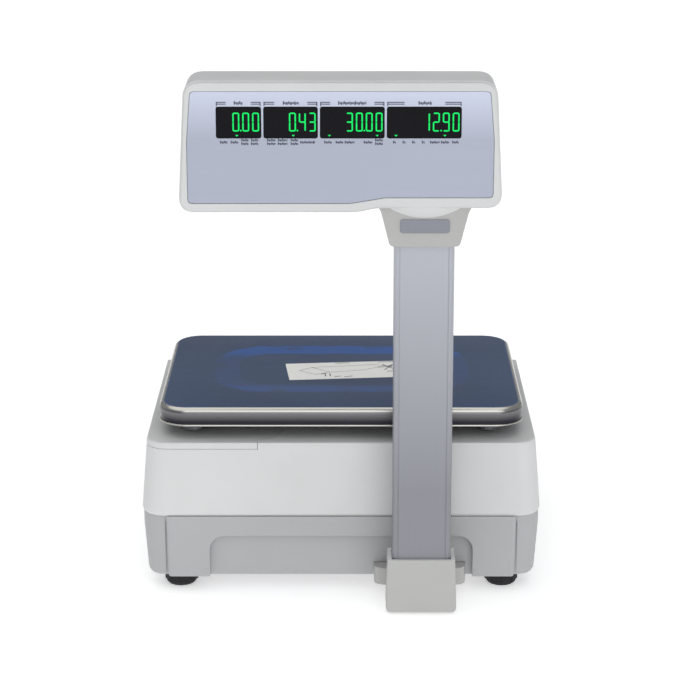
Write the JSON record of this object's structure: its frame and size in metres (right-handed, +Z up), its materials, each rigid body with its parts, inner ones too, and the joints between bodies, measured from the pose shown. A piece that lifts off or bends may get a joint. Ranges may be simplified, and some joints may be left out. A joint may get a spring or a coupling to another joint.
{
  "type": "retail price scale",
  "caption": "Label-printing retail price scale: moulded base with a sheet-metal weighing pan, keypad, roll-fed label printer and a two-sided pole display.",
  "frame": {"origin": "on the floor below the middle of the scale's overall box", "axes": "+X to the right seen from the customer's side, +Y from the customer towards the operator's keyboard, +Z up"},
  "size_m": [0.406, 0.51, 0.54],
  "materials": {
    "shell_plastic": "fine satin grain, warm off-white",
    "base_plastic": "fine satin grain, slightly greyer off-white",
    "foot_rubber": "moulded black rubber",
    "stainless_pan": "stainless sheet under a blue protective film",
    "plain_steel": "zinc-plated steel",
    "cast_aluminium": "cast and machined aluminium",
    "pole_aluminium": "satin anodised extrusion",
    "platen_rubber": "ground black rubber on a steel shaft",
    "gear_plastic": "natural white moulded plastic",
    "dark_plastic": "dark moulded plastic",
    "label_paper": "coated label paper on a card core",
    "lever_plastic": "blue moulded plastic",
    "board_green": "green circuit board",
    "keypad_film": "printed membrane keypad",
    "level_plastic": "white moulded ring",
    "level_liquid": "clear vial with green liquid",
    "display_panel": "silver brushed display panel",
    "display_window": "smoked display window",
    "badge_grey": "blank grey badge"
  },
  "bodies": {
    "base": {"customer_panel": "display_panel", "customer_window_1": "display_window", "customer_window_2": "display_window", "customer_window_3": "display_window", "customer_window_4": "display_window", "display_board": "board_green", "drive_motor": "plain_steel", "head_cable": "dark_plastic", "head_customer_shell": "shell_plastic", "head_operator_shell": "shell_plastic", "head_shaft": "plain_steel", "keypad_panel": "keypad_film", "label_outlet": "dark_plastic", "level_body": "level_plastic", "level_vial": "level_liquid", "load_cell": "cast_aluminium", "load_cell_mount": "cast_aluminium", "lower_base": "base_plastic", "main_board": "board_green", "mains_inlet": "dark_plastic", "neck_badge": "badge_grey", "operator_panel": "display_panel", "operator_window_1": "display_window", "operator_window_2": "display_window", "operator_window_3": "display_window", "operator_window_4": "display_window", "peel_bar": "plain_steel", "pole": "pole_aluminium", "pole_socket": "shell_plastic", "port_panel": "plain_steel", "power_supply": "plain_steel", "printer_frame": "plain_steel", "roll_spindle": "dark_plastic", "switch_frame": "dark_plastic", "upper_housing": "shell_plastic"},
    "weigh_platform": {"platform_post": "cast_aluminium"},
    "platter": {"weighing_pan": "stainless_pan", "platform_spider": "cast_aluminium", "pan_pad_rear_left": "foot_rubber", "pan_pad_rear_right": "foot_rubber", "pan_pad_front_left": "foot_rubber", "pan_pad_front_right": "foot_rubber"},
    "label_lid": {"label_lid": "shell_plastic"},
    "label_roll": {"label_roll": "label_paper"},
    "platen": {"platen_roller": "platen_rubber"},
    "idler": {"idler_gear": "gear_plastic"},
    "pinion": {"motor_pinion": "gear_plastic"},
    "rewind": {"rewind_spool": "dark_plastic"},
    "print_head": {"print_head": "cast_aluminium"},
    "head_lever": {"head_lever": "lever_plastic"},
    "power_rocker": {"power_rocker": "dark_plastic"},
    "foot_stud_rear_left": {"foot_stud_rear_left": "plain_steel"},
    "foot_pad_rear_left": {"foot_pad_rear_left": "foot_rubber"},
    "foot_stud_rear_right": {"foot_stud_rear_right": "plain_steel"},
    "foot_pad_rear_right": {"foot_pad_rear_right": "foot_rubber"},
    "foot_stud_front_left": {"foot_stud_front_left": "plain_steel"},
    "foot_pad_front_left": {"foot_pad_front_left": "foot_rubber"},
    "foot_stud_front_right": {"foot_stud_front_right": "plain_steel"},
    "foot_pad_front_right": {"foot_pad_front_right": "foot_rubber"}
  },
  "joints": [
    {"name": "weigh_travel", "type": "slide", "parent": "base", "child": "weigh_platform", "axis": [0, 0, 1], "range_m": [-0.0005, 0], "stiffness_N_per_m": 60000, "springref_m": 0.0006},
    {"name": "platter_lift", "type": "slide", "parent": "weigh_platform", "child": "platter", "axis": [0, 0, 1], "range_m": [0, 0.2]},
    {"name": "label_lid_hinge", "type": "hinge", "parent": "base", "child": "label_lid", "pos_m": [-0.1978, 0, 0.1548], "axis": [0, -1, 0], "range_deg": [0, 68]},
    {"name": "label_roll_spin", "type": "hinge", "parent": "base", "child": "label_roll", "pos_m": [-0.123, -0.062, 0.088], "axis": [1, 0, 0], "continuous": true},
    {"name": "platen_spin", "type": "hinge", "parent": "base", "child": "platen", "pos_m": [-0.12, 0.078, 0.112], "axis": [1, 0, 0], "continuous": true},
    {"name": "idler_spin", "type": "hinge", "parent": "base", "child": "idler", "pos_m": [-0.08, 0.05576, 0.09643], "axis": [1, 0, 0], "continuous": true},
    {"name": "motor_spin", "type": "hinge", "parent": "base", "child": "pinion", "pos_m": [-0.08, 0.06634, 0.07811], "axis": [1, 0, 0], "continuous": true},
    {"name": "rewind_spin", "type": "hinge", "parent": "base", "child": "rewind", "pos_m": [-0.12, 0.02843, 0.08369], "axis": [1, 0, 0], "continuous": true},
    {"name": "print_head_pivot", "type": "hinge", "parent": "base", "child": "print_head", "pos_m": [-0.12, 0.044, 0.13], "axis": [1, 0, 0], "range_deg": [0, 8]},
    {"name": "head_lever_turn", "type": "hinge", "parent": "base", "child": "head_lever", "pos_m": [-0.168, 0.072, 0.137], "axis": [-1, 0, 0], "range_deg": [0, 60]},
    {"name": "power_rocker_tilt", "type": "hinge", "parent": "base", "child": "power_rocker", "pos_m": [0.196, 0.05, 0.05], "axis": [0, -1, 0], "range_deg": [0, 14]},
    {"name": "foot_level_rear_left", "type": "slide", "parent": "base", "child": "foot_stud_rear_left", "axis": [0, 0, 1], "range_m": [-0.0065, 0]},
    {"name": "foot_turn_rear_left", "type": "hinge", "parent": "foot_stud_rear_left", "child": "foot_pad_rear_left", "pos_m": [-0.1655, -0.1505, 0.006], "axis": [0, 0, 1], "range_deg": [-1800, 0]},
    {"name": "foot_level_rear_right", "type": "slide", "parent": "base", "child": "foot_stud_rear_right", "axis": [0, 0, 1], "range_m": [-0.0065, 0]},
    {"name": "foot_turn_rear_right", "type": "hinge", "parent": "foot_stud_rear_right", "child": "foot_pad_rear_right", "pos_m": [0.1655, -0.1505, 0.006], "axis": [0, 0, 1], "range_deg": [-1800, 0]},
    {"name": "foot_level_front_left", "type": "slide", "parent": "base", "child": "foot_stud_front_left", "axis": [0, 0, 1], "range_m": [-0.0065, 0]},
    {"name": "foot_turn_front_left", "type": "hinge", "parent": "foot_stud_front_left", "child": "foot_pad_front_left", "pos_m": [-0.1655, 0.212, 0.006], "axis": [0, 0, 1], "range_deg": [-1800, 0]},
    {"name": "foot_level_front_right", "type": "slide", "parent": "base", "child": "foot_stud_front_right", "axis": [0, 0, 1], "range_m": [-0.0065, 0]},
    {"name": "foot_turn_front_right", "type": "hinge", "parent": "foot_stud_front_right", "child": "foot_pad_front_right", "pos_m": [0.1655, 0.212, 0.006], "axis": [0, 0, 1], "range_deg": [-1800, 0]}
  ],
  "couplings": [
    {"joint": "label_lid_hinge", "follows": "platter_lift", "rad_per_m": 5.9},
    {"joint": "idler_spin", "follows": "platen_spin", "ratio": -0.8},
    {"joint": "motor_spin", "follows": "platen_spin", "ratio": 2},
    {"joint": "rewind_spin", "follows": "platen_spin", "ratio": 0.8},
    {"joint": "print_head_pivot", "follows": "head_lever_turn", "ratio": 0.1333},
    {"joint": "foot_level_rear_left", "follows": "foot_turn_rear_left", "m_per_rad": 0.00019894},
    {"joint": "foot_level_rear_right", "follows": "foot_turn_rear_right", "m_per_rad": 0.00019894},
    {"joint": "foot_level_front_left", "follows": "foot_turn_front_left", "m_per_rad": 0.00019894},
    {"joint": "foot_level_front_right", "follows": "foot_turn_front_right", "m_per_rad": 0.00019894}
  ]
}
